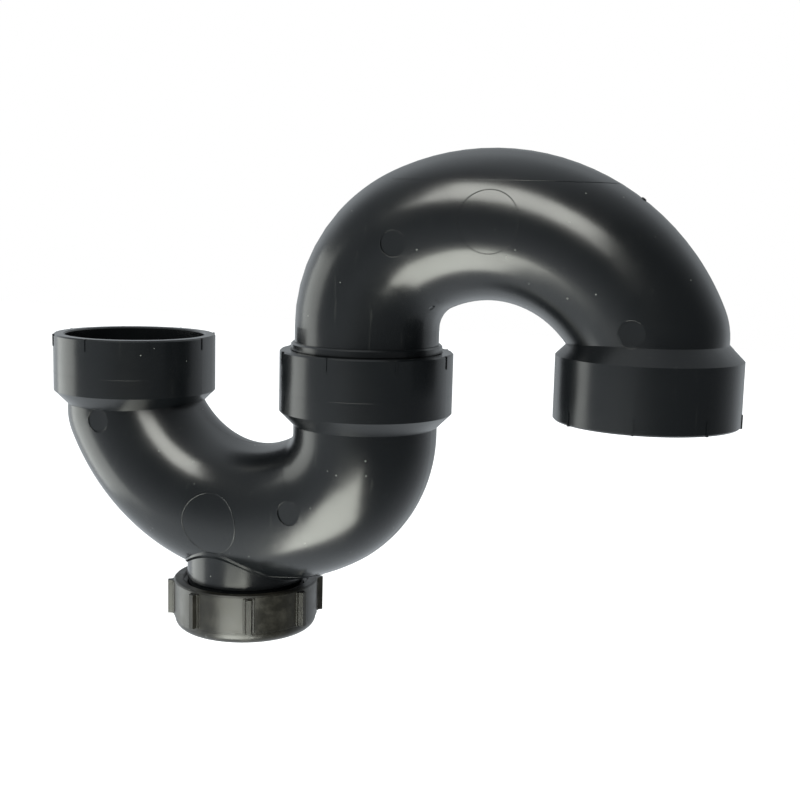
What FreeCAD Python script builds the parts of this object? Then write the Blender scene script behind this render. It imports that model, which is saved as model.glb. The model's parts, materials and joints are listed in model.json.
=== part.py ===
import FreeCAD, Part
import math
import os
import Sketcher

# An S-form drain trap in moulded ABS, nominal size 1-1/2 inch. A U-shaped trap bend takes the
# waste from the inlet hub, dips, and rises to its outlet hub. A return bend is pushed into that
# hub, turns over the top and comes down to the last hub. A threaded cleanout port at the bottom
# of the trap bend is closed by a lugged cap on a rubber gasket.
# Millimetres. The origin is the middle of the inlet hub's mouth, +Z is up, and +X runs from the
# inlet hub to the outlet hub of the trap bend.

SIZES = [
    # hubs: sockets for a pipe or spigot of 48.26 outside diameter
    ("hub_radius", 28.2),
    ("hub_length", 19.75),
    ("edge_break", 0.5),
    ("socket_radius", 24.28),
    ("socket_depth", 17.5),
    ("tick_half", 0.3),
    ("tick_rise", 0.3),
    ("tick_length", 4.2),
    # trap bend
    ("trap_across", 91.5),
    ("trap_tube_radius", 23.5),
    ("water_radius", 20.1),
    ("trap_leg_end", 27.25),
    ("trap_corner_radius", 26.9),
    ("trap_sweep_radius", 55.2),
    ("trap_mitre_depth", 26.75),
    ("trap_path_start", 17.6),
    # flats left by ejector pins
    ("mark_radius", 4.0),
    ("mark_depth", 0.45),
    ("mark1_across", 1.5),
    ("mark1_depth", 28.2),
    ("mark2_across", 76.3),
    ("mark2_depth", 51.4),
    ("mark3_across", 16.0),
    ("mark3_rise", 35.2),
    ("mark4_across", 88.3),
    ("mark4_rise", 11.7),
    # cleanout boss under the trap bend
    ("boss_across", 46.6),
    ("boss_radius", 19.8),
    ("boss_bore_radius", 16.5),
    ("boss_end", 94.5),
    ("boss_top", 62.0),
    ("neck_radius", 20.2),
    ("neck_end", 81.4),
    ("collar_radius", 20.9),
    ("collar_rise", 0.5),
    # thread of the boss and the cap
    ("thread_pitch", 2.209),
    ("boss_crest_radius", 21.0),
    ("boss_thread_low", 92.6),
    ("boss_thread_angle", 19.4),
    ("boss_thread_turns", 3.8),
    ("thread_half_root", 1.0),
    ("thread_half_crest", 0.15),
    ("thread_bite", 0.3),
    ("cap_crest_radius", 20.15),
    ("cap_thread_low", 91.473),
    ("cap_thread_angle", 23.0),
    ("cap_thread_turns", 3.7),
    # cleanout cap
    ("cap_radius", 24.85),
    ("cap_foot_radius", 24.4),
    ("cap_bore_radius", 21.4),
    ("cap_rim", 82.0),
    ("cap_foot_top", 94.6),
    ("cap_bottom", 98.9),
    ("cap_floor", 96.5),
    ("cap_edge", 3.4),
    ("lug_reach", 26.8),
    ("lug_half_plinth", 1.9),
    ("lug_plinth_reach", 25.2),
    ("lug_half_root", 1.2),
    ("lug_half_top", 0.85),
    ("lug_top", 82.8),
    ("lug_bottom", 94.5),
    ("lug_angle", 33.5),
    # gasket
    ("gasket_radius", 20.0),
    ("gasket_bore_radius", 16.7),
    # return bend, in its own frame: origin in the mouth of the hub it plugs into
    ("return_swing", 6.1),
    ("return_across", 90.7),
    ("return_tube_radius", 23.4),
    ("return_leg_end", 7.7),
    ("return_corner_radius", 31.6),
    ("return_sweep_radius", 53.8),
    ("return_mitre_rise", 9.04),
    ("return_path_start", 1.0),
    ("return_drop", 16.6),
    ("spigot_radius", 24.13),
    ("spigot_depth", 17.2),
    ("spigot_lead", 0.8),
    ("ring_radius", 24.55),
    ("ring_foot", 0.3),
    ("ring_top", 2.5),
    # dimple left where the plastic was let into the return bend, in the same frame
    ("gate_across", 26.16),
    ("gate_aside", 10.93),
    ("gate_rise", 13.87),
    ("gate_radius", 2.6),
]
VALUE = dict(SIZES)

doc = FreeCAD.newDocument("p_trap")


# ---- the spreadsheet of sizes
sheet = doc.addObject("Spreadsheet::Sheet", "Sizes")
for row, (alias, size) in enumerate(SIZES, 1):
    sheet.set("A%d" % row, alias)
    sheet.set("B%d" % row, "%g" % size)
    sheet.setAlias("B%d" % row, alias)
doc.recompute()


# ---- sums of sheet names, such as "hub_length + edge_break", as a number and as an expression
def number(words):
    total = 0.0
    sign = 1.0
    for word in words.split():
        if word in "+-":
            sign = 1.0 if word == "+" else -1.0
        else:
            total += sign * (VALUE[word] if word in VALUE else float(word))
    return total


def expression(words):
    return " ".join("Sizes." + w if w in VALUE else w for w in words.split())


def bind(obj, prop, words):
    obj.setExpression(prop, expression(words))


# ---- sketches
def new_body(name):
    body = doc.addObject("PartDesign::Body", name)
    body.Label = name + "_body"
    return body


def sketch_on(body, name, role, across="0", lift="0"):
    """A sketch on one of the body's own planes, moved along its X axis and its normal."""
    sketch = body.newObject("Sketcher::SketchObject", name)
    plane = [f for f in body.Origin.OriginFeatures if f.Role == role][0]
    sketch.AttachmentSupport = [(plane, "")]
    sketch.MapMode = "FlatFace"
    shift = FreeCAD.Vector(number(across), 0, number(lift))
    sketch.AttachmentOffset = FreeCAD.Placement(shift, FreeCAD.Rotation())
    bind(sketch, "AttachmentOffset.Base.x", across)
    bind(sketch, "AttachmentOffset.Base.z", lift)
    return sketch


def pin_point(sketch, geo, pos, x_words, y_words):
    """Hold one point of a sketch at two sums of sheet names."""
    for kind, words, axis in (("DistanceX", x_words, -2), ("DistanceY", y_words, -1)):
        if words == "0":
            sketch.addConstraint(Sketcher.Constraint("PointOnObject", geo, pos, axis))
            continue
        rule = Sketcher.Constraint(kind, -1, 1, geo, pos, number(words))
        index = sketch.addConstraint(rule)
        bind(sketch, "Constraints[%d]" % index, words)


def polygon(sketch, corners):
    """A closed outline through corners given as pairs of sums of sheet names."""
    spots = [FreeCAD.Vector(number(x), number(y), 0) for x, y in corners]
    first = sketch.GeometryCount
    count = len(spots)
    for i in range(count):
        sketch.addGeometry(Part.LineSegment(spots[i], spots[(i + 1) % count]), False)
    for i in range(count):
        after = first + (i + 1) % count
        sketch.addConstraint(Sketcher.Constraint("Coincident", first + i, 2, after, 1))
    for i, (x, y) in enumerate(corners):
        pin_point(sketch, first + i, 1, x, y)


def circle(sketch, x, y, radius):
    middle = FreeCAD.Vector(number(x), number(y), 0)
    shape = Part.Circle(middle, FreeCAD.Vector(0, 0, 1), number(radius))
    geo = sketch.addGeometry(shape, False)
    if x == "0" and y == "0":
        sketch.addConstraint(Sketcher.Constraint("Coincident", geo, 3, -1, 1))
    else:
        pin_point(sketch, geo, 3, x, y)
    index = sketch.addConstraint(Sketcher.Constraint("Radius", geo, number(radius)))
    bind(sketch, "Constraints[%d]" % index, radius)


# ---- PartDesign features
def turned(body, name, kind, sketch):
    """A Revolution or a Groove right round the sketch's own vertical axis."""
    feature = body.newObject("PartDesign::" + kind, name)
    feature.Profile = sketch
    feature.ReferenceAxis = (sketch, ["V_Axis"])
    feature.Angle = 360.0
    return feature


def swept(body, name, kind, profile, path):
    """An AdditivePipe or a SubtractivePipe along every edge of the path sketch."""
    feature = body.newObject("PartDesign::" + kind, name)
    feature.Profile = profile
    edges = ["Edge%d" % (i + 1) for i in range(path.GeometryCount)]
    feature.Spine = (path, edges)
    return feature


def ball(body, name, kind, across, height, radius, aside="0"):
    """A sphere, such as the one that rounds the mitre where a swept tube meets its hub."""
    feature = body.newObject("PartDesign::" + kind, name)
    feature.Radius = number(radius)
    bind(feature, "Radius", radius)
    spot = FreeCAD.Vector(number(across), number(aside), number(height))
    feature.AttachmentOffset = FreeCAD.Placement(spot, FreeCAD.Rotation())
    plane = [f for f in body.Origin.OriginFeatures if f.Role == "XY_Plane"][0]
    feature.AttachmentSupport = [(plane, "")]
    feature.MapMode = "FlatFace"
    bind(feature, "AttachmentOffset.Base.x", across)
    bind(feature, "AttachmentOffset.Base.y", aside)
    bind(feature, "AttachmentOffset.Base.z", height)
    return feature


def rim_edges(shape, height):
    """Names of the full circular edges that lie at one height."""
    names = []
    for i, edge in enumerate(shape.Edges, 1):
        box = edge.BoundBox
        if abs(box.ZMin - height) < 1e-4 and abs(box.ZMax - height) < 1e-4:
            names.append("Edge%d" % i)
    return names


# ---- the centre line of a bend: a straight leg, a tight corner, and a wide sweep to the far hub
def bend_path(body, name, leg, top, foot, far, corner, sweep, dips):
    """All but the last are sums of sheet names. The path starts at (leg, top), leaves the leg
    at (leg, foot) and ends at far, a pair. dips says that the bend hangs under its hubs."""
    facing = 0.0 if dips else math.pi
    turn = math.radians(60.0)
    r1 = number(corner)
    r2 = number(sweep)
    toward = FreeCAD.Vector(math.cos(facing), 0, 0)
    join = FreeCAD.Vector(math.cos(facing - turn), math.sin(facing - turn), 0)
    leg_end = FreeCAD.Vector(number(leg), number(foot), 0)
    mid1 = leg_end - toward * r1
    mid2 = mid1 + join * (r1 - r2)
    last = math.acos((number(far[0]) - mid2.x) / r2)
    last = -last if dips else last
    normal = FreeCAD.Vector(0, 0, 1)

    sketch = sketch_on(body, name, "XZ_Plane")
    start = FreeCAD.Vector(number(leg), number(top), 0)
    sketch.addGeometry(Part.LineSegment(start, leg_end), False)
    arc1 = Part.ArcOfCircle(Part.Circle(mid1, normal, r1), facing - turn, facing)
    arc2 = Part.ArcOfCircle(Part.Circle(mid2, normal, r2), last, facing - turn)
    sketch.addGeometry(arc1, False)
    sketch.addGeometry(arc2, False)
    pin_point(sketch, 0, 1, leg, top)
    pin_point(sketch, 0, 2, leg, foot)
    sketch.addConstraint(Sketcher.Constraint("Tangent", 0, 2, 1, 2))
    sketch.addConstraint(Sketcher.Constraint("Tangent", 1, 1, 2, 2))
    for geo, words in ((1, corner), (2, sweep)):
        index = sketch.addConstraint(Sketcher.Constraint("Radius", geo, number(words)))
        bind(sketch, "Constraints[%d]" % index, words)
    pin_point(sketch, 2, 1, *far)
    return sketch


# ---- a hub: outside, sphere at the mitre, and the ticks that mark its eighth turns
def ticks(body, name, across, mouth, opens_up):
    """Eight short ribs in from the hub's mouth, one on each eighth of a turn."""
    lift = mouth + " - tick_length" if opens_up else mouth
    sketch = sketch_on(body, name + "_outline", "XY_Plane", across, lift)
    half = "tick_half"
    polygon(sketch, [
        ("hub_radius - 1", "0 - " + half),
        ("hub_radius + tick_rise", "0 - " + half),
        ("hub_radius + tick_rise", half),
        ("hub_radius - 1", half),
    ])
    pad = body.newObject("PartDesign::Pad", name)
    pad.Profile = sketch
    bind(pad, "Length", "tick_length")
    pattern = body.newObject("PartDesign::PolarPattern", name + "_round")
    pattern.Originals = [pad]
    pattern.Axis = (sketch, ["N_Axis"])
    pattern.Angle = 360.0
    pattern.Occurrences = 8
    body.Tip = pattern
    return pattern


# ---- flat round marks where ejector pins met the moulding, on the side that faces -Y
def pin_flats(body, name, depth, spots):
    sketch = sketch_on(body, name + "_outline", "XZ_Plane", "0", depth)
    for x, z in spots:
        circle(sketch, x, z, "mark_radius")
    pocket = body.newObject("PartDesign::Pocket", name)
    pocket.Profile = sketch
    pocket.Length = 5.0
    pocket.Reversed = True
    return pocket


# ---- a helical ridge of trapezoid section, in its own frame and then placed
def thread(name, root, crest, low, angle, turns):
    line = doc.addObject("Part::Helix", name + "_line")
    line.Pitch = number("thread_pitch")
    line.Height = number("thread_pitch") * number(turns)
    line.Radius = number("boss_radius")
    bind(line, "Pitch", "thread_pitch")
    line.setExpression("Height", "Sizes.thread_pitch * Sizes." + turns)
    bind(line, "Radius", "boss_radius")
    section = doc.addObject("Sketcher::SketchObject", name + "_section")
    section.Placement = FreeCAD.Placement(
        FreeCAD.Vector(), FreeCAD.Rotation(FreeCAD.Vector(1, 0, 0), 90))
    polygon(section, [
        (root, "0 - thread_half_root"),
        (crest, "0 - thread_half_crest"),
        (crest, "thread_half_crest"),
        (root, "thread_half_root"),
    ])
    ridge = doc.addObject("Part::Sweep", name)
    ridge.Sections = [section]
    ridge.Spine = (line, ["Edge1"])
    ridge.Solid = True
    ridge.Frenet = True
    spot = FreeCAD.Vector(number("boss_across"), 0, number("0 - " + low))
    spin = FreeCAD.Rotation(FreeCAD.Vector(0, 0, 1), number(angle))
    ridge.Placement = FreeCAD.Placement(spot, spin)
    bind(ridge, "Placement.Base.x", "boss_across")
    bind(ridge, "Placement.Base.z", "0 - " + low)
    return ridge


def joined(name, body, ridge):
    """One solid from a body and its thread, under the node's name."""
    whole = doc.addObject("Part::Fuse", name)
    whole.Base = body
    whole.Tool = ridge
    whole.Refine = False
    return whole


# ==== trap bend: the U that holds the water
trap = new_body("trap")
trap_path = (
    "trap_across", "0 - trap_path_start", "0 - trap_leg_end", ("0", "0 - trap_mitre_depth"),
    "trap_corner_radius", "trap_sweep_radius", True)

# the collar round the root of the cleanout boss: a fatter tube, kept only near the boss's axis
path = bend_path(trap, "collar_centre_line", *trap_path)
ring = sketch_on(trap, "collar_section", "XY_Plane", "trap_across", "0 - trap_path_start")
circle(ring, "0", "0", "trap_tube_radius + collar_rise")
swept(trap, "collar_tube", "AdditivePipe", ring, path)
trim = sketch_on(trap, "collar_trim_outline", "XZ_Plane", "boss_across")
polygon(trim, [
    ("0", "0"),
    ("trap_across + hub_radius", "0"),
    ("trap_across + hub_radius", "0 - cap_bottom"),
    ("collar_radius", "0 - cap_bottom"),
    ("collar_radius", "0 - boss_top"),
    ("0", "0 - boss_top"),
])
turned(trap, "collar_trim", "Groove", trim)

# the tube
path = bend_path(trap, "trap_centre_line", *trap_path)
ring = sketch_on(trap, "trap_section", "XY_Plane", "trap_across", "0 - trap_path_start")
circle(ring, "0", "0", "trap_tube_radius")
swept(trap, "trap_tube", "AdditivePipe", ring, path)
ball(trap, "trap_mitre", "AdditiveSphere", "0", "0 - trap_mitre_depth", "trap_tube_radius")
pin_flats(trap, "trap_flats", "trap_tube_radius - mark_depth", [
    ("mark1_across", "0 - mark1_depth"),
    ("mark2_across", "0 - mark2_depth"),
])

# the foot of each hub, below its socket, and the taper down to the tube
for side, across in (("inlet", "0"), ("outlet", "trap_across")):
    foot = "0 - hub_length - hub_radius + trap_tube_radius - 1"
    outline = sketch_on(trap, side + "_foot_outline", "XZ_Plane", across)
    polygon(outline, [
        ("0", "0 - socket_depth"),
        ("hub_radius", "0 - socket_depth"),
        ("hub_radius", "0 - hub_length"),
        ("trap_tube_radius - 1", foot),
        ("0", foot),
    ])
    turned(trap, side + "_foot", "Revolution", outline)

# the boss, a little thicker above its thread
boss = sketch_on(trap, "boss_outline", "XZ_Plane", "boss_across")
polygon(boss, [
    ("0", "0 - boss_top"),
    ("neck_radius", "0 - boss_top"),
    ("neck_radius", "0 - neck_end"),
    ("boss_radius", "0 - neck_end"),
    ("boss_radius", "0 - boss_end + edge_break"),
    ("boss_radius - edge_break", "0 - boss_end"),
    ("0", "0 - boss_end"),
])
turned(trap, "boss", "Revolution", boss)

# the waterway, the cleanout port and the two sockets
path = bend_path(trap, "water_centre_line", *trap_path)
ring = sketch_on(trap, "water_section", "XY_Plane", "trap_across", "0 - trap_path_start")
circle(ring, "0", "0", "water_radius")
swept(trap, "waterway", "SubtractivePipe", ring, path)
ball(trap, "water_mitre", "SubtractiveSphere", "0", "0 - trap_mitre_depth", "water_radius")
port = sketch_on(trap, "port_outline", "XZ_Plane", "boss_across")
polygon(port, [
    ("0", "0 - boss_top"),
    ("boss_bore_radius", "0 - boss_top"),
    ("boss_bore_radius", "0 - boss_end"),
    ("0", "0 - boss_end"),
])
turned(trap, "cleanout_port", "Groove", port)
for side, across in (("inlet", "0"), ("outlet", "trap_across")):
    outline = sketch_on(trap, side + "_bore_outline", "XZ_Plane", across)
    polygon(outline, [
        ("0", "0"),
        ("hub_radius", "0"),
        ("hub_radius", "0 - socket_depth"),
        ("water_radius", "0 - socket_depth"),
        ("water_radius", "0 - trap_mitre_depth"),
        ("0", "0 - trap_mitre_depth"),
    ])
    turned(trap, side + "_bore", "Groove", outline)
boss_thread = thread("boss_thread", "boss_radius - thread_bite", "boss_crest_radius",
                     "boss_thread_low", "boss_thread_angle", "boss_thread_turns")
trap_bend = joined("trap_bend", trap, boss_thread)


# the wall round each socket: part of the same moulding, kept as a piece of its own that stands
# on the hub's foot, so that the shape taken for its bore never closes the bend below
def socket_wall(name, across):
    body = new_body(name)
    body.Label = name
    outline = sketch_on(body, name + "_outline", "XZ_Plane", across)
    polygon(outline, [
        ("socket_radius + edge_break", "0"),
        ("hub_radius - edge_break", "0"),
        ("hub_radius", "0 - edge_break"),
        ("hub_radius", "0 - socket_depth"),
        ("socket_radius", "0 - socket_depth"),
        ("socket_radius", "0 - edge_break"),
    ])
    turned(body, name + "_ring", "Revolution", outline)
    ticks(body, name + "_ticks", across, "0", True)
    return body


inlet_socket = socket_wall("trap_inlet_socket", "0")
outlet_socket = socket_wall("trap_outlet_socket", "trap_across")


# ==== return bend: spigot, turn over the top, and the last hub, drawn straight and then swung
turn_over = new_body("return")
return_path = (
    "0", "return_path_start", "return_leg_end", ("return_across", "return_mitre_rise"),
    "return_corner_radius", "return_sweep_radius", False)
path = bend_path(turn_over, "return_centre_line", *return_path)
ring = sketch_on(turn_over, "return_section", "XY_Plane", "0", "return_path_start")
circle(ring, "0", "0", "return_tube_radius")
swept(turn_over, "return_tube", "AdditivePipe", ring, path)
ball(turn_over, "return_mitre", "AdditiveSphere", "return_across", "return_mitre_rise",
     "return_tube_radius")
pin_flats(turn_over, "return_flats", "return_tube_radius - mark_depth", [
    ("mark3_across", "mark3_rise"),
    ("mark4_across", "mark4_rise"),
])

spigot = sketch_on(turn_over, "spigot_outline", "XZ_Plane")
polygon(spigot, [
    ("0", "0 - spigot_depth"),
    ("spigot_radius - spigot_lead", "0 - spigot_depth"),
    ("spigot_radius", "0 - spigot_depth + spigot_lead"),
    ("spigot_radius", "ring_foot"),
    ("ring_radius", "ring_foot"),
    ("ring_radius", "ring_top - edge_break"),
    ("ring_radius - edge_break", "ring_top"),
    ("0", "ring_top"),
])
turned(turn_over, "spigot", "Revolution", spigot)

hub_top = "0 - return_drop + hub_length"
taper_top = hub_top + " + hub_radius - return_tube_radius + 1"
last_hub = sketch_on(turn_over, "last_hub_outline", "XZ_Plane", "return_across")
polygon(last_hub, [
    ("0", "0 - return_drop"),
    ("hub_radius - edge_break", "0 - return_drop"),
    ("hub_radius", "0 - return_drop + edge_break"),
    ("hub_radius", hub_top),
    ("return_tube_radius - 1", taper_top),
    ("0", taper_top),
])
turned(turn_over, "last_hub", "Revolution", last_hub)
ticks(turn_over, "last_ticks", "return_across", "0 - return_drop", False)

path = bend_path(turn_over, "return_water_line", *return_path)
ring = sketch_on(turn_over, "return_water_section", "XY_Plane", "0", "return_path_start")
circle(ring, "0", "0", "water_radius")
swept(turn_over, "return_waterway", "SubtractivePipe", ring, path)
ball(turn_over, "return_water_mitre", "SubtractiveSphere", "return_across",
     "return_mitre_rise", "water_radius")
bore = sketch_on(turn_over, "spigot_bore_outline", "XZ_Plane")
polygon(bore, [
    ("0", "return_path_start"),
    ("water_radius", "return_path_start"),
    ("water_radius", "0 - spigot_depth"),
    ("0", "0 - spigot_depth"),
])
turned(turn_over, "spigot_bore", "Groove", bore)
last_stop = "0 - return_drop + socket_depth"
last_socket = sketch_on(turn_over, "last_socket_outline", "XZ_Plane", "return_across")
polygon(last_socket, [
    ("0", "0 - return_drop"),
    ("socket_radius + edge_break", "0 - return_drop"),
    ("socket_radius", "0 - return_drop + edge_break"),
    ("socket_radius", last_stop),
    ("water_radius", last_stop),
    ("water_radius", "return_mitre_rise"),
    ("0", "return_mitre_rise"),
])
turned(turn_over, "last_socket", "Groove", last_socket)
ball(turn_over, "gate_dimple", "SubtractiveSphere", "gate_across", "gate_rise", "gate_radius",
     "0 - gate_aside")
turn_over.Label = "return_bend"
turn_over.Placement = FreeCAD.Placement(
    FreeCAD.Vector(VALUE["trap_across"], 0, 0),
    FreeCAD.Rotation(FreeCAD.Vector(0, 0, 1), VALUE["return_swing"]))
bind(turn_over, "Placement.Base.x", "trap_across")
bind(turn_over, "Placement.Rotation.Angle", "return_swing")


# ==== cleanout cap: a cup with an internal thread and eight lugs
cap = new_body("cap")
cup = sketch_on(cap, "cap_outline", "XZ_Plane", "boss_across")
polygon(cup, [
    ("0", "0 - cap_floor"),
    ("cap_bore_radius", "0 - cap_floor"),
    ("cap_bore_radius", "0 - cap_rim - edge_break"),
    ("cap_bore_radius + edge_break", "0 - cap_rim"),
    ("cap_radius - edge_break", "0 - cap_rim"),
    ("cap_radius", "0 - cap_rim - edge_break"),
    ("cap_radius", "0 - cap_foot_top"),
    ("cap_foot_radius", "0 - cap_foot_top"),
    ("cap_foot_radius", "0 - cap_bottom"),
    ("0", "0 - cap_bottom"),
])
cup_turn = turned(cap, "cap_cup", "Revolution", cup)
doc.recompute()
rounded = cap.newObject("PartDesign::Fillet", "cap_foot_round")
rounded.Base = (cup_turn, rim_edges(cup_turn.Shape, -VALUE["cap_bottom"]))
rounded.Radius = VALUE["cap_edge"]
bind(rounded, "Radius", "cap_edge")

lug = sketch_on(cap, "lug_outline", "XY_Plane", "boss_across", "0 - lug_bottom")
lug.AttachmentOffset = FreeCAD.Placement(
    FreeCAD.Vector(VALUE["boss_across"], 0, -VALUE["lug_bottom"]),
    FreeCAD.Rotation(FreeCAD.Vector(0, 0, 1), VALUE["lug_angle"]))
bind(lug, "AttachmentOffset.Rotation.Angle", "lug_angle")
polygon(lug, [
    ("cap_radius - 1", "0 - lug_half_plinth"),
    ("lug_plinth_reach", "0 - lug_half_plinth"),
    ("lug_plinth_reach", "0 - lug_half_root"),
    ("lug_reach", "0 - lug_half_top"),
    ("lug_reach", "lug_half_top"),
    ("lug_plinth_reach", "lug_half_root"),
    ("lug_plinth_reach", "lug_half_plinth"),
    ("cap_radius - 1", "lug_half_plinth"),
])
pad = cap.newObject("PartDesign::Pad", "lug")
pad.Profile = lug
bind(pad, "Length", "lug_bottom - lug_top")
lugs = cap.newObject("PartDesign::PolarPattern", "lugs")
lugs.Originals = [pad]
lugs.Axis = (lug, ["N_Axis"])
lugs.Angle = 360.0
lugs.Occurrences = 8
cap.Tip = lugs
cap_thread = thread("cap_thread", "cap_bore_radius + thread_bite", "cap_crest_radius",
                    "cap_thread_low", "cap_thread_angle", "cap_thread_turns")
cleanout_cap = joined("cleanout_cap", cap, cap_thread)


# ==== cleanout gasket: a flat rubber washer between the boss's end and the cap's floor
gasket = new_body("gasket")
gasket.Label = "cleanout_gasket"
washer = sketch_on(gasket, "gasket_outline", "XZ_Plane", "boss_across")
polygon(washer, [
    ("gasket_bore_radius", "0 - boss_end"),
    ("gasket_radius", "0 - boss_end"),
    ("gasket_radius", "0 - cap_floor"),
    ("gasket_bore_radius", "0 - cap_floor"),
])
turned(gasket, "gasket_ring", "Revolution", washer)


# ==== recompute, check and export
doc.recompute()
for thing in doc.Objects:
    if "Invalid" in thing.State or "Error" in thing.State:
        raise RuntimeError("%s did not recompute: %s" % (thing.Name, thing.State))

os.makedirs("parts", exist_ok=True)
for piece in (trap_bend, inlet_socket, outlet_socket, turn_over, cleanout_cap, gasket):
    shape = piece.Shape
    if shape.isNull() or not shape.isValid() or len(shape.Solids) != 1:
        raise RuntimeError("%s is not one valid solid" % piece.Label)
    print("%s %.0f mm3" % (piece.Label, shape.Volume))
    shape.exportStep("parts/%s.step" % piece.Label)
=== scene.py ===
import json
import math

import bmesh
import bpy
from mathutils import Matrix, Vector


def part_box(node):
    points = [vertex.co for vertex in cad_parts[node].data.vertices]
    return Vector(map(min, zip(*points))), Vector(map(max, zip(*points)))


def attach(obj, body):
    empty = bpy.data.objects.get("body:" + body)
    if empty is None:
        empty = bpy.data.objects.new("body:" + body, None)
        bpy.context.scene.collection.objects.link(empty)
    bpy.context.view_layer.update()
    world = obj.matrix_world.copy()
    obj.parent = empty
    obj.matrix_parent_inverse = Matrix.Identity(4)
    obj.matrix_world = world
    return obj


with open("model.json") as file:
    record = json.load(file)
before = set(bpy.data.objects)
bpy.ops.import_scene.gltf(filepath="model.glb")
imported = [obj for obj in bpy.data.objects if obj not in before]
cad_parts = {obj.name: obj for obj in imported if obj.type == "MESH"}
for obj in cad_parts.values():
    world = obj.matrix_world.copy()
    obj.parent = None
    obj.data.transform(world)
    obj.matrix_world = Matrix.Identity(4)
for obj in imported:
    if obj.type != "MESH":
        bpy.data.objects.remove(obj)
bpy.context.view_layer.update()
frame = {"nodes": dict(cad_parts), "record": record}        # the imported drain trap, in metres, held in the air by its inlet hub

MM = 0.001
scene = bpy.context.scene
scene.view_settings.view_transform = "Standard"


# ---- the camera: a little above the trap, to the right of its outlet side, and turned a touch
# on its own axis. The trap is about 240 mm long and is seen from about 0.4 m.
camera_side = math.radians(24.456)
camera_height = math.radians(8.321)
camera_roll = math.radians(-1.474)
camera_target = Vector((103.83, 0, -15.29)) * MM
camera_distance = 405.28 * MM


def direction(side, height):
    """From the trap towards a place on a sphere round it. Side 0 is the -Y side, 90 is +X."""
    flat = math.cos(height)
    return Vector((math.sin(side) * flat, -math.cos(side) * flat, math.sin(height)))


back = direction(camera_side, camera_height)
level = back.cross(Vector((0, 0, -1))).normalized()
lens_turn = Matrix.Rotation(camera_roll, 3, -back)
right = lens_turn @ level
up = lens_turn @ back.cross(level)
camera_data = bpy.data.cameras.new("camera")
camera_data.lens = 56.53
camera_data.clip_start = 0.01
camera = bpy.data.objects.new("camera", camera_data)
scene.collection.objects.link(camera)
camera.matrix_world = (Matrix.Translation(camera_target + back * camera_distance)
                       @ Matrix((right, up, back)).transposed().to_4x4())
scene.camera = camera


# ==== trap bend: the U that holds the water, one moulding of black ABS with both its hubs and
# the cleanout boss. Injection moulded in a polished steel tool, so it is smooth and glossy, with
# faint flow marks, hairline scuffs from the shop bin and a little dust held by static.
def linear(sheet_colour):
    """A colour written as #rrggbb, as linear light."""
    parts = [int(sheet_colour[i:i + 2], 16) / 255 for i in (1, 3, 5)]
    return [c / 12.92 if c <= 0.04045 else ((c + 0.055) / 1.055) ** 2.4 for c in parts] + [1.0]


def add_node(tree, kind, settings, links):
    """A shader node, with its settings and sockets by name or number, and its inputs joined."""
    shader = tree.nodes.new("ShaderNode" + kind)
    for name, value in settings.items():
        if isinstance(name, int) or name in shader.inputs:
            shader.inputs[name].default_value = value
        else:
            setattr(shader, name, value)
    for name, socket in links.items():
        tree.links.new(socket, shader.inputs[name])
    return shader


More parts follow.
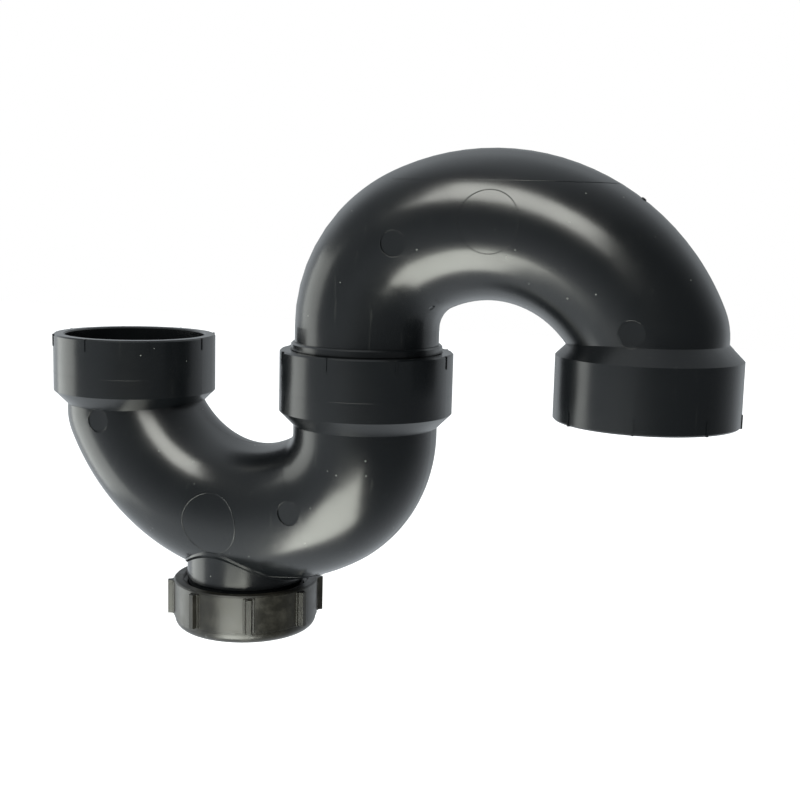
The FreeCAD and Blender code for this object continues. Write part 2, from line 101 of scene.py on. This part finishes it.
def moulded_plastic(name, deep, worn, gloss, flow_depth, dusty, scuffed, corner):
    """A dark moulded plastic. deep and worn are its colours, gloss its roughness, flow_depth the
    height in mm of its slow waves, dusty the share of 3 mm cells that hold a dust speck, scuffed
    how far the scuffs turn its skin dull and pale, and corner the radius in mm of its corners,
    or 0 on a moulding that is several nodes laid flush, where it would show as a seam."""
    material = bpy.data.materials.new(name)
    material.use_nodes = True
    tree = material.node_tree
    shell = tree.nodes["Principled BSDF"]
    place = add_node(tree, "TexCoord", {}, {}).outputs["Object"]

    # the melt cools unevenly: patches about 25 mm across, a shade apart
    patches = add_node(tree, "TexNoise", {"Scale": 1 / (25 * MM), "Detail": 3.0},
                       {"Vector": place}).outputs["Fac"]
    colour = add_node(tree, "Mix", {"data_type": "RGBA", 6: linear(deep), 7: linear(worn)},
                      {0: patches}).outputs[2]

    # hairline scuffs: a noise drawn out along one slanted direction, cut to its sharpest ridge
    slant = add_node(tree, "Mapping", {"Rotation": (0.5, 0.9, 0.3), "Scale": (6, 6, 0.35)},
                     {"Vector": place}).outputs[0]
    streaks = add_node(tree, "TexNoise", {"Scale": 1 / (9 * MM), "Detail": 2.0},
                       {"Vector": slant}).outputs["Fac"]
    scuffs = add_node(tree, "MapRange", {"From Min": 0.69, "From Max": 0.78},
                      {"Value": streaks}).outputs[0]
    rubbed = add_node(tree, "Math", {"operation": "MULTIPLY", 1: scuffed}, {0: scuffs}).outputs[0]
    paler = add_node(tree, "Mix", {"data_type": "RGBA", 7: linear("#3c3d3b")},
                     {0: rubbed, 6: colour}).outputs[2]

    # dust: pale specks of 0.2 mm, larger than real dust so that they show, in some of the cells
    cells = add_node(tree, "TexVoronoi", {"Scale": 1 / (3 * MM)}, {"Vector": place})
    speck = add_node(tree, "MapRange", {"From Min": 0.085, "From Max": 0.05},
                     {"Value": cells.outputs["Distance"]}).outputs[0]
    lot = add_node(tree, "SeparateColor", {}, {"Color": cells.outputs["Color"]}).outputs["Red"]
    drawn = add_node(tree, "Math", {"operation": "LESS_THAN", 1: dusty}, {0: lot}).outputs[0]
    dust = add_node(tree, "Math", {"operation": "MULTIPLY"}, {0: speck, 1: drawn}).outputs[0]
    faint = add_node(tree, "Math", {"operation": "MULTIPLY", 1: 0.55}, {0: dust}).outputs[0]
    dusted = add_node(tree, "Mix", {"data_type": "RGBA", 7: linear("#8e918b")},
                      {0: faint, 6: paler}).outputs[2]
    tree.links.new(dusted, shell.inputs["Base Color"])

    # roughness: the tool's polish varies over about 12 mm, and scuffs and dust are duller
    polish = add_node(tree, "TexNoise", {"Scale": 1 / (12 * MM), "Detail": 4.0},
                      {"Vector": place}).outputs["Fac"]
    rough = add_node(tree, "MapRange", {"From Min": 0.3, "From Max": 0.7,
                                        "To Min": gloss - 0.02, "To Max": gloss + 0.03},
                     {"Value": polish}).outputs[0]
    duller = add_node(tree, "Math", {"operation": "MULTIPLY_ADD", 1: 0.2},
                      {0: rubbed, 2: rough}).outputs[0]
    dullest = add_node(tree, "Math", {"operation": "MULTIPLY_ADD", 1: 0.3},
                       {0: dust, 2: duller}).outputs[0]
    tree.links.new(dullest, shell.inputs["Roughness"])

    # relief: rounded corners, slow waves about 9 mm long where the walls shrank, a fine grain of
    # 0.5 mm left by the tool's polish, and the scuffs cut in
    waves = add_node(tree, "TexNoise", {"Scale": 1 / (9 * MM), "Detail": 1.0},
                     {"Vector": place}).outputs["Fac"]
    relief = {"Height": waves}
    if corner:
        relief["Normal"] = add_node(tree, "Bevel", {"samples": 4, "Radius": corner * MM},
                                    {}).outputs[0]
    slow = add_node(tree, "Bump", {"Distance": flow_depth * MM}, relief).outputs[0]
    grain = add_node(tree, "TexNoise", {"Scale": 1 / (0.5 * MM), "Detail": 2.0},
                     {"Vector": place}).outputs["Fac"]
    cut = add_node(tree, "Math", {"operation": "MULTIPLY_ADD", 1: -1.5},
                   {0: rubbed, 2: grain}).outputs[0]
    fine = add_node(tree, "Bump", {"Distance": 0.004 * MM},
                    {"Height": cut, "Normal": slow}).outputs[0]
    tree.links.new(fine, shell.inputs["Normal"])
    shell.inputs["IOR"].default_value = 1.54
    return material


abs_black = moulded_plastic("moulded_black_abs", "#080a0c", "#0d0f11", 0.23, 0.05, 0.12,
                            0.16, 0)
trap_bend = frame["nodes"]["trap_bend"]


def dress(node, material):
    """Gives a whole CAD node one material."""
    node.data.materials.clear()
    node.data.materials.append(material)


for part in ("trap_bend", "trap_inlet_socket", "trap_outlet_socket"):
    dress(frame["nodes"][part], abs_black)


# The steel tool leaves its mark wherever two of its parts meet: a hair of plastic creeps into
# the joint and stands up as a line. Each line is cut from the moulding's own skin by the plane
# of the tool's joint, and given the section of the plastic that crept in.
def witness_line(name, node, plane_point, plane_facing, kept, bead):
    """kept(point) says which points of the cut belong to the line; bead is its half width."""
    line = bpy.data.objects.new(name, node.data.copy())
    scene.collection.objects.link(line)
    bpy.ops.object.select_all(action="DESELECT")
    bpy.context.view_layer.objects.active = line
    line.select_set(True)
    bpy.ops.object.mode_set(mode="EDIT")
    bpy.ops.mesh.select_all(action="SELECT")
    bpy.ops.mesh.remove_doubles(threshold=0.001 * MM)
    bpy.ops.mesh.bisect(plane_co=plane_point, plane_no=plane_facing,
                        clear_inner=True, clear_outer=True)
    bpy.ops.mesh.select_all(action="DESELECT")
    mesh = bmesh.from_edit_mesh(line.data)
    for vertex in mesh.verts:
        vertex.select_set(not kept(vertex.co))
    bmesh.update_edit_mesh(line.data)
    bpy.ops.mesh.delete(type="VERT")
    bpy.ops.object.mode_set(mode="OBJECT")
    bpy.ops.object.convert(target="CURVE")
    line = bpy.context.object
    line.data.bevel_depth = bead
    line.data.bevel_resolution = 1
    line.data.use_fill_caps = True
    bpy.ops.object.convert(target="MESH")
    line = bpy.context.object
    bpy.ops.object.shade_smooth()
    return line


def witness_ring(name, node, centre, radius, swing, bead):
    """A round line where a plug or a pin in the tool's wall met it: a ring laid on the moulding
    from the side that faces -Y, turned by swing about Z."""
    bpy.ops.object.select_all(action="DESELECT")
    bpy.ops.mesh.primitive_circle_add(vertices=120, radius=radius, location=centre,
                                      rotation=(math.radians(90), 0, swing))
    ring = bpy.context.object
    ring.name = name
    laid = ring.modifiers.new("laid_on", "SHRINKWRAP")
    laid.target = node
    laid.wrap_method = "PROJECT"
    laid.use_project_z = True
    laid.use_negative_direction = True
    laid.use_positive_direction = False
    bpy.ops.object.modifier_apply(modifier="laid_on")
    bpy.ops.object.convert(target="CURVE")
    ring = bpy.context.object
    ring.data.bevel_depth = bead
    ring.data.bevel_resolution = 1
    bpy.ops.object.convert(target="MESH")
    ring = bpy.context.object
    bpy.ops.object.transform_apply(location=True, rotation=True, scale=True)
    bpy.ops.object.shade_smooth()
    return ring


joints = frame["record"]["behaviour"]["joints"]
joint_place = {joint["name"]: joint.get("pos_m") for joint in joints}
outlet_across = joint_place["return_swivel"][0]
boss_across = joint_place["cleanout_turn"][0]
collar_reach = 21.1 * MM     # just outside the collar at the root of the boss
line_bead = 0.11 * MM        # where a block of the tool met its wall
plug_bead = 0.154 * MM       # where a plug that can be changed met it, the loosest fit
pin_bead = 0.072 * MM        # where an ejector pin met it
seam_bead = 0.045 * MM       # where the tool's halves met, shut the tightest
pin_reach = 4.05 * MM        # just outside the flats that the ejector pins left
in_front = -40 * MM          # where a ring starts from, clear of the side that faces -Y
beside_seam = 1.5 * MM       # how far the lines on the two sides stop from the halves' joint

# low on the U, on both sides of the cleanout boss, where the boss's own block ends
sole = Vector((boss_across, 0, -76.6 * MM))


def on_the_sole(point):
    outside = abs(point.y) > beside_seam and point.z < -70 * MM
    return outside and math.hypot(point.x - sole.x, point.y) > collar_reach


# round the bend in its own plane, where the two halves of the tool close: the outer line is
# clear of the boss and the hubs, and the inner line lies in the crook
sweep_centre = Vector((49.9, 0, -3.1)) * MM


def on_the_keel(point):
    clear_of_boss = abs(point.x - boss_across) > collar_reach
    outer = math.hypot(point.x - sweep_centre.x, point.z - sweep_centre.z) > 74 * MM
    return clear_of_boss and outer and point.z < -25 * MM


def in_the_crook(point):
    inner = math.hypot(point.x - sweep_centre.x, point.z - sweep_centre.z) < 33 * MM
    return inner and 26 * MM < point.x < 66 * MM and point.z < -22 * MM


# round each hub, where the sliding block that makes its socket ends
def on_the_hub(across):
    """The cut's points on the outside of the hub that stands at x = across."""
    return lambda point: math.hypot(point.x - across, point.y) > 27.5 * MM


hub_line = (0, 0, -13.4 * MM)
inlet_socket = frame["nodes"]["trap_inlet_socket"]
outlet_socket = frame["nodes"]["trap_outlet_socket"]
trap_lines = [
    witness_line("trap_sole_line", trap_bend, sole, (0, 0, 1), on_the_sole, line_bead),
    witness_line("trap_keel_line", trap_bend, (0, 0, 0), (0, 1, 0), on_the_keel, seam_bead),
    witness_line("trap_crook_line", trap_bend, (0, 0, 0), (0, 1, 0), in_the_crook, seam_bead),
    witness_line("inlet_hub_line", inlet_socket, hub_line, (0, 0, 1), on_the_hub(0),
                 seam_bead),
    witness_line("outlet_hub_line", outlet_socket, hub_line, (0, 0, 1),
                 on_the_hub(outlet_across), seam_bead),
]
for name, across, drop, radius, bead in (
        ("trap_plug_ring", 46.1, 58.9, 10.3 * MM, plug_bead),
        ("trap_pin_ring_1", 1.5, 28.2, pin_reach, pin_bead),
        ("trap_pin_ring_2", 76.3, 51.4, pin_reach, pin_bead)):
    spot = (across * MM, in_front, -drop * MM)
    trap_lines.append(witness_ring(name, trap_bend, spot, radius, 0, bead))
for piece in trap_lines:
    dress(piece, abs_black)
    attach(piece, "trap_bend")


# ==== return bend: the second moulding of the same ABS, pushed into the trap bend's outlet hub,
# where it can swivel until it is cemented. It turns over the top and ends in a hub like the
# others, and carries the same tool marks.
return_bend = frame["nodes"]["return_bend"]
dress(return_bend, abs_black)
swing = math.radians(6.1)
return_frame = Matrix.Translation((outlet_across, 0, 0)) @ Matrix.Rotation(swing, 4, "Z")
to_return = return_frame.inverted()
return_sweep = Vector((41.3, 0, -12.3)) * MM
return_side = return_frame.to_3x3() @ Vector((0, 1, 0))


def on_the_crown(point):
    own = to_return @ point
    return abs(own.y) > beside_seam and 12 * MM < own.x < 80 * MM and own.z > 40 * MM


def on_the_ridge(point):
    own = to_return @ point
    outer = math.hypot(own.x - return_sweep.x, own.z - return_sweep.z) > 70 * MM
    return outer and own.z > 12 * MM and own.x > -20 * MM


def under_the_arch(point):
    own = to_return @ point
    inner = math.hypot(own.x - return_sweep.x, own.z - return_sweep.z) < 34 * MM
    return inner and 26 * MM < own.x < 66 * MM and own.z > 8 * MM


return_lines = [
    witness_line("return_crown_line", return_bend, (0, 0, 54.6 * MM), (0, 0, 1), on_the_crown,
                 line_bead),
    witness_line("return_ridge_line", return_bend, (outlet_across, 0, 0), return_side,
                 on_the_ridge, seam_bead),
    witness_line("return_arch_line", return_bend, (outlet_across, 0, 0), return_side,
                 under_the_arch, seam_bead),
]
for name, across, rise, radius, bead in (
        ("return_plug_ring", 45.0, 42.4, 9.4 * MM, plug_bead),
        ("return_pin_ring_1", 16.0, 35.2, pin_reach, pin_bead),
        ("return_pin_ring_2", 88.3, 11.7, pin_reach, pin_bead)):
    spot = return_frame @ Vector((across * MM, in_front, rise * MM))
    return_lines.append(witness_ring(name, return_bend, spot, radius, swing, bead))

# the gate: a nub of plastic left on the outside of the turn where the runner was snapped off.
# A short round bar is bevelled at its free end, which is sunk in the middle as snapped plastic
# is.
gate_angle = math.radians(54)        # up from the horizontal, at the centre of the sweep
gate_way = Vector((math.cos(gate_angle), 0, math.sin(gate_angle)))
gate_spot = return_frame @ (return_sweep + gate_way * 77.1 * MM)
gate_turn = (return_frame.to_3x3() @ gate_way).to_track_quat("Z", "Y").to_euler()
bpy.ops.object.select_all(action="DESELECT")
bpy.ops.mesh.primitive_cylinder_add(vertices=20, radius=0.8 * MM, depth=0.8 * MM,
                                    location=gate_spot, rotation=gate_turn)
gate = bpy.context.object
gate.name = "return_gate_nub"
bpy.ops.object.mode_set(mode="EDIT")
bpy.ops.mesh.select_all(action="DESELECT")
nub = bmesh.from_edit_mesh(gate.data)
for face in nub.faces:
    face.select_set(face.normal.z > 0.9)
bmesh.update_edit_mesh(gate.data)
bpy.ops.mesh.bevel(offset=0.12 * MM, segments=2, affect="EDGES")
bpy.ops.mesh.inset(thickness=0.25 * MM, depth=-0.12 * MM)
bpy.ops.object.mode_set(mode="OBJECT")
bpy.ops.object.transform_apply(location=True, rotation=True, scale=True)
return_lines.append(gate)

for piece in return_lines:
    dress(piece, abs_black)
    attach(piece, "return_bend")


# ==== cleanout cap: a lugged cup screwed on the boss, moulded in duller black polypropylene in a
# less polished tool. Fingers and a wrench turn it, so it is scuffed and holds more dust than the
# bends.
cap_black = moulded_plastic("moulded_black_polypropylene", "#0c0b08", "#171611", 0.30, 0.03,
                            0.22, 1.0, 0.25)

# handling has rubbed the cap in blotches of about 5 mm: there it is paler, browner and duller
worn_cap = cap_black.node_tree
cap_shell = worn_cap.nodes["Principled BSDF"]
grip = add_node(worn_cap, "TexCoord", {}, {}).outputs["Object"]
blotches = add_node(worn_cap, "TexNoise", {"Scale": 1 / (5 * MM), "Detail": 6.0,
                                           "Roughness": 0.7}, {"Vector": grip}).outputs["Fac"]
rub = add_node(worn_cap, "MapRange", {"From Min": 0.45, "From Max": 0.75, "To Max": 0.6},
               {"Value": blotches}).outputs[0]
moulded_colour = cap_shell.inputs["Base Color"].links[0].from_socket
moulded_gloss = cap_shell.inputs["Roughness"].links[0].from_socket
browned = add_node(worn_cap, "Mix", {"data_type": "RGBA", 7: linear("#2c2a23")},
                   {0: rub, 6: moulded_colour}).outputs[2]
dulled = add_node(worn_cap, "Math", {"operation": "MULTIPLY_ADD", 1: 0.3},
                  {0: rub, 2: moulded_gloss}).outputs[0]
worn_cap.links.new(browned, cap_shell.inputs["Base Color"])
worn_cap.links.new(dulled, cap_shell.inputs["Roughness"])
dress(frame["nodes"]["cleanout_cap"], cap_black)

# under the cap, the mark of the gate in the middle of its floor: a thin disc with a sunk groove
# near its rim and a low rise in its middle
cap_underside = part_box("cleanout_cap")[0][2]
bpy.ops.object.select_all(action="DESELECT")
bpy.ops.mesh.primitive_cylinder_add(vertices=72, radius=6.5 * MM, depth=0.3 * MM,
                                    location=(boss_across, 0, cap_underside + 0.15 * MM))
gate_mark = bpy.context.object
gate_mark.name = "cap_gate_ring"
bpy.ops.object.mode_set(mode="EDIT")
bpy.ops.mesh.select_all(action="DESELECT")
disc = bmesh.from_edit_mesh(gate_mark.data)
for face in disc.faces:
    face.select_set(face.normal.z < -0.9)
bmesh.update_edit_mesh(gate_mark.data)
bpy.ops.mesh.inset(thickness=0.5 * MM, depth=0)
bpy.ops.mesh.inset(thickness=0.4 * MM, depth=-0.2 * MM)
bpy.ops.mesh.inset(thickness=4.2 * MM, depth=0)
bpy.ops.mesh.inset(thickness=0.3 * MM, depth=0.15 * MM)
bpy.ops.object.mode_set(mode="OBJECT")
bpy.ops.object.transform_apply(location=True, rotation=True, scale=True)
dress(gate_mark, cap_black)
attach(gate_mark, "cleanout_cap")


# ==== cleanout gasket: a flat washer cut from black rubber sheet, pressed between the boss's end
# and the cap's floor. Rolled rubber sheet is matt, with a fine grain and slow shallow waves.
rubber = moulded_plastic("calendered_black_rubber", "#141414", "#1d1c1b", 0.62, 0.02, 0.2,
                         0.2, 0)
dress(frame["nodes"]["cleanout_gasket"], rubber)


# ==== the studio: a white light table far below the trap, white all round, and three soft
# boxes: one above and one below the camera's left shoulder, and a dimmer one to the left.
def soft_box(name, side, height, roll, distance, wide, tall, brightness, tint):
    """A flat lamp that faces the trap. side is measured from the camera, brightness in W/sr/m2."""
    toward = direction(camera_side + math.radians(side), math.radians(height))
    lamp = bpy.data.lights.new(name, "AREA")
    lamp.shape = "RECTANGLE"
    lamp.size = wide
    lamp.size_y = tall
    lamp.energy = brightness * math.pi * wide * tall
    lamp.color = linear(tint)[:3]
    box = bpy.data.objects.new(name, lamp)
    scene.collection.objects.link(box)
    box.location = camera_target + toward * distance
    facing = toward.to_track_quat("Z", "Y").to_matrix()
    box.rotation_euler = (facing @ Matrix.Rotation(math.radians(roll), 3, "Z")).to_euler()
    box.visible_camera = False


soft_box("upper_soft_box", -22, 48, -22, 0.70, 0.60, 0.28, 9.5, "#fdfff7")
soft_box("lower_soft_box", -22, -47, 0, 0.34, 0.24, 0.24, 9.5, "#fcfff4")
soft_box("left_soft_box", -103, -4, 0, 0.70, 0.48, 0.68, 2.2, "#fcfff8")

# the room: white, but for a dark corner to the right of the camera, a dim wall to the left and
# a dim patch behind the trap
room = bpy.data.worlds.new("room")
scene.world = room
room.use_nodes = True
walls = room.node_tree
walls.nodes.clear()
look = add_node(walls, "TexCoord", {}, {}).outputs["Generated"]


def dim_patch(side, height, inner, outer, depth):
    """How bright the room is round one direction: depth within inner degrees, 1 past outer."""
    middle = direction(camera_side + math.radians(side), math.radians(height))
    nearness = add_node(walls, "VectorMath", {"operation": "DOT_PRODUCT", 1: middle},
                        {0: look}).outputs["Value"]
    return add_node(walls, "MapRange", {
        "interpolation_type": "SMOOTHSTEP", "To Min": 1.0, "To Max": depth,
        "From Min": math.cos(math.radians(outer)), "From Max": math.cos(math.radians(inner))},
        {"Value": nearness}).outputs[0]


shade = add_node(walls, "Math", {"operation": "MULTIPLY"}, {
    0: dim_patch(36, 8, 30, 116, 0.12), 1: dim_patch(170, 8, 10, 45, 0.5)}).outputs[0]
shade = add_node(walls, "Math", {"operation": "MULTIPLY"}, {
    0: dim_patch(-72, 30, 15, 60, 0.35), 1: shade}).outputs[0]
seen = add_node(walls, "LightPath", {}, {}).outputs["Is Camera Ray"]
strength = add_node(walls, "Math", {"operation": "MAXIMUM"}, {0: shade, 1: seen}).outputs[0]
cool = add_node(walls, "Mix", {"data_type": "RGBA", 6: linear("#f3faff"), 7: linear("#ffffff")},
                {0: seen}).outputs[2]
glow = add_node(walls, "Background", {}, {"Color": cool, "Strength": strength})
add_node(walls, "OutputWorld", {}, {"Surface": glow.outputs[0]})

bpy.ops.object.select_all(action="DESELECT")
bpy.ops.mesh.primitive_plane_add(size=8, location=(camera_target.x, 0, -0.38))
table = bpy.context.object
table.name = "light_table"
table.visible_glossy = False
acrylic = bpy.data.materials.new("opal_acrylic")
acrylic.use_nodes = True
sheet = acrylic.node_tree.nodes["Principled BSDF"]
sheet.inputs["Base Color"].default_value = linear("#f2f2f0")
sheet.inputs["Roughness"].default_value = 0.8
sheet.inputs["Emission Color"].default_value = linear("#ffffff")
sheet.inputs["Emission Strength"].default_value = 0.9
table.data.materials.append(acrylic)
